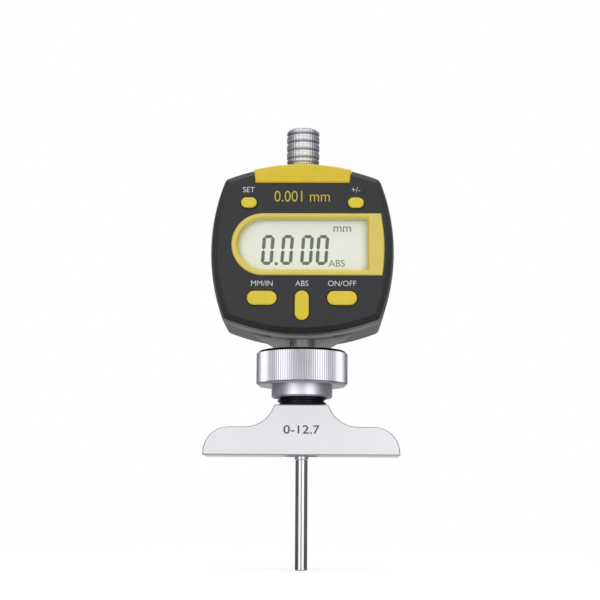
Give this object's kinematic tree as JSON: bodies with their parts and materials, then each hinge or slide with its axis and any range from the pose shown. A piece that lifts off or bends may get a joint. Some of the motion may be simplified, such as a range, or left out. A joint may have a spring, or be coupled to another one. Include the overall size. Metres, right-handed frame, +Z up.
{
  "type": "digital depth gauge",
  "caption": "Digital depth gauge: an electronic indicator with display, buttons and spring-loaded rod, clamped by a knurled nut in a bridge-shaped steel depth base.",
  "frame": {"origin": "where the measuring rod's axis meets the flat measuring face of the base", "axes": "+Z up along the rod and spindle, -Y towards the reader of the display, +X to the reader's right"},
  "size_m": [0.0636, 0.0347, 0.1462],
  "materials": {
    "ground_steel": "fine ground, satin",
    "black_steel": "black oxide, semi-gloss",
    "chromed_steel": "satin chrome, bright edges",
    "polished_steel": "ground and polished",
    "grey_casting": "painted, satin",
    "dark_plastic": "moulded, semi-gloss",
    "yellow_plastic": "moulded, satin",
    "gold_plastic": "moulded, pearl",
    "clear_lens": "clear",
    "display_glass": "pale reflective backing",
    "board_green": "solder mask",
    "black_rubber": "matt",
    "black_chip": "moulded",
    "brass": "turned",
    "plated_steel": "nickel plated",
    "cast_aluminium": "machined"
  },
  "bodies": {
    "base": {"depth_base": "ground_steel", "collet_bush": "black_steel"},
    "nut": {"clamp_nut": "chromed_steel"},
    "spindle": {"spindle": "polished_steel", "measuring_rod": "polished_steel", "lifting_cap": "chromed_steel", "scale_carrier": "cast_aluminium", "carrier_set_screw": "black_steel", "scale_strip": "display_glass"},
    "cover": {"battery_cover": "yellow_plastic"},
    "button_tolerance": {"button_tolerance": "yellow_plastic"},
    "button_range": {"button_range": "yellow_plastic"},
    "button_units": {"button_units": "yellow_plastic"},
    "button_zero": {"button_zero": "yellow_plastic"},
    "button_mode": {"button_mode": "yellow_plastic"},
    "indicator": {"rear_housing": "grey_casting", "front_bezel": "dark_plastic", "lcd_frame": "gold_plastic", "display_window": "clear_lens", "switch_domes": "plated_steel", "lcd_panel": "display_glass", "connector_strips": "black_rubber", "circuit_board": "board_green", "board_chips": "black_chip", "reading_head": "board_green", "battery": "plated_steel", "battery_contacts": "plated_steel", "back_cover": "grey_casting", "back_gasket": "black_rubber", "back_cover_screws": "plated_steel", "bezel_screws": "plated_steel", "stem": "plated_steel", "dust_wiper": "black_rubber", "lower_bush": "brass", "upper_bush": "brass", "stop_buffer": "black_rubber", "guide_rail": "polished_steel", "return_spring": "polished_steel"}
  },
  "joints": [
    {"name": "indicator_swivel", "type": "hinge", "parent": "base", "child": "indicator", "pos_m": [0, 0, 0.03], "axis": [0, 0, 1], "continuous": true},
    {"name": "clamp_nut_turn", "type": "hinge", "parent": "base", "child": "nut", "pos_m": [0, 0, 0.027], "axis": [0, 0, 1], "range_deg": [0, 180]},
    {"name": "spindle_slide", "type": "slide", "parent": "indicator", "child": "spindle", "axis": [0, 0, 1], "range_m": [0, 0.0127], "stiffness_N_per_m": 30, "springref_m": -0.03, "deforming": ["return_spring"]},
    {"name": "battery_cover_slide", "type": "slide", "parent": "indicator", "child": "cover", "axis": [0, -1, 0], "range_m": [0, 0.009]},
    {"name": "button_tolerance_press", "type": "slide", "parent": "indicator", "child": "button_tolerance", "axis": [0, 1, 0], "range_m": [0, 0.0005], "stiffness_N_per_m": 1500, "springref_m": -0.0003},
    {"name": "button_range_press", "type": "slide", "parent": "indicator", "child": "button_range", "axis": [0, 1, 0], "range_m": [0, 0.0005], "stiffness_N_per_m": 1500, "springref_m": -0.0003},
    {"name": "button_units_press", "type": "slide", "parent": "indicator", "child": "button_units", "axis": [0, 1, 0], "range_m": [0, 0.0005], "stiffness_N_per_m": 1500, "springref_m": -0.0003},
    {"name": "button_zero_press", "type": "slide", "parent": "indicator", "child": "button_zero", "axis": [0, 1, 0], "range_m": [0, 0.0005], "stiffness_N_per_m": 1500, "springref_m": -0.0003},
    {"name": "button_mode_press", "type": "slide", "parent": "indicator", "child": "button_mode", "axis": [0, 1, 0], "range_m": [0, 0.0005], "stiffness_N_per_m": 1500, "springref_m": -0.0003}
  ]
}
